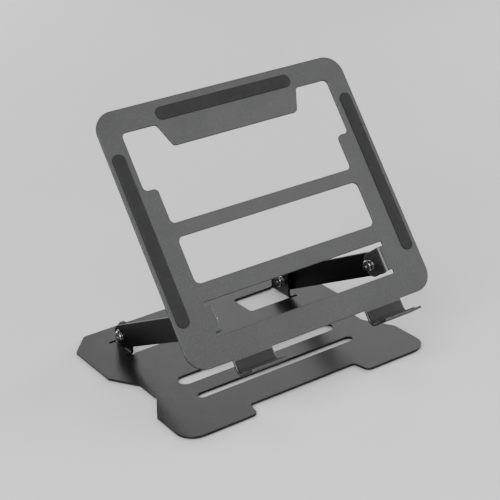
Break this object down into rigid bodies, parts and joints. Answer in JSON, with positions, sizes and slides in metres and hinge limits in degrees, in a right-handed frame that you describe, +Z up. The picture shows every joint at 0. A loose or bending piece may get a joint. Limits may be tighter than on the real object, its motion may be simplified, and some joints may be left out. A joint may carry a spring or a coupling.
{
  "type": "foldable laptop stand",
  "caption": "Folding sheet-metal laptop stand: slotted base, windowed tilting tray with soft pads and front hooks, carried on flat arms with friction pivots.",
  "frame": {"origin": "centre of the footprint, on the table, with the stand raised", "axes": "+Z up; +X to the stand's right seen from behind the user, along the pivots; +Y to the rear, away from the user"},
  "size_m": [0.25, 0.254, 0.2432],
  "materials": {
    "base_metal": "fine-grain satin powder coat",
    "tray_metal": "fine-grain satin powder coat",
    "arm_metal": "satin powder coat, darker",
    "pad_silicone": "matt silicone",
    "hook_silicone": "matt silicone",
    "foot_rubber": "matt rubber",
    "friction_nylon": "black nylon",
    "spring_steel": "phosphated spring steel",
    "fastener_steel": "bright zinc plate"
  },
  "bodies": {
    "base": {"base_plate": "base_metal", "right_lower_screw": "fastener_steel", "right_lower_outer_washer": "fastener_steel", "right_lower_friction_washer": "friction_nylon", "right_lower_spring_stack": "spring_steel", "right_lower_cap_nut": "fastener_steel", "right_rear_foot": "foot_rubber", "right_front_foot": "foot_rubber", "left_lower_screw": "fastener_steel", "left_lower_outer_washer": "fastener_steel", "left_lower_friction_washer": "friction_nylon", "left_lower_spring_stack": "spring_steel", "left_lower_cap_nut": "fastener_steel", "left_rear_foot": "foot_rubber", "left_front_foot": "foot_rubber"},
    "left_arm": {"left_arm": "arm_metal"},
    "right_arm": {"right_arm": "arm_metal"},
    "tray": {"tray_plate": "tray_metal", "top_pad": "pad_silicone", "right_side_pad": "pad_silicone", "right_hook_pad": "hook_silicone", "right_upper_screw": "fastener_steel", "right_upper_outer_washer": "fastener_steel", "right_upper_friction_washer": "friction_nylon", "right_upper_spring_stack": "spring_steel", "right_upper_cap_nut": "fastener_steel", "left_side_pad": "pad_silicone", "left_hook_pad": "hook_silicone", "left_upper_screw": "fastener_steel", "left_upper_outer_washer": "fastener_steel", "left_upper_friction_washer": "friction_nylon", "left_upper_spring_stack": "spring_steel", "left_upper_cap_nut": "fastener_steel"}
  },
  "joints": [
    {"name": "left_arm_fold", "type": "hinge", "parent": "base", "child": "left_arm", "pos_m": [-0.0898, 0.07961, 0.0177], "axis": [1, 0, 0], "range_deg": [-19.5, 25.25]},
    {"name": "right_arm_fold", "type": "hinge", "parent": "base", "child": "right_arm", "pos_m": [0.0898, 0.07961, 0.0177], "axis": [1, 0, 0], "range_deg": [-19.5, 25.25]},
    {"name": "tray_tilt", "type": "hinge", "parent": "left_arm", "child": "tray", "pos_m": [-0.0898, -0.06411, 0.08547], "axis": [1, 0, 0], "range_deg": [-79.4, 20]}
  ],
  "couplings": [
    {"joint": "right_arm_fold", "follows": "left_arm_fold", "ratio": 1}
  ]
}
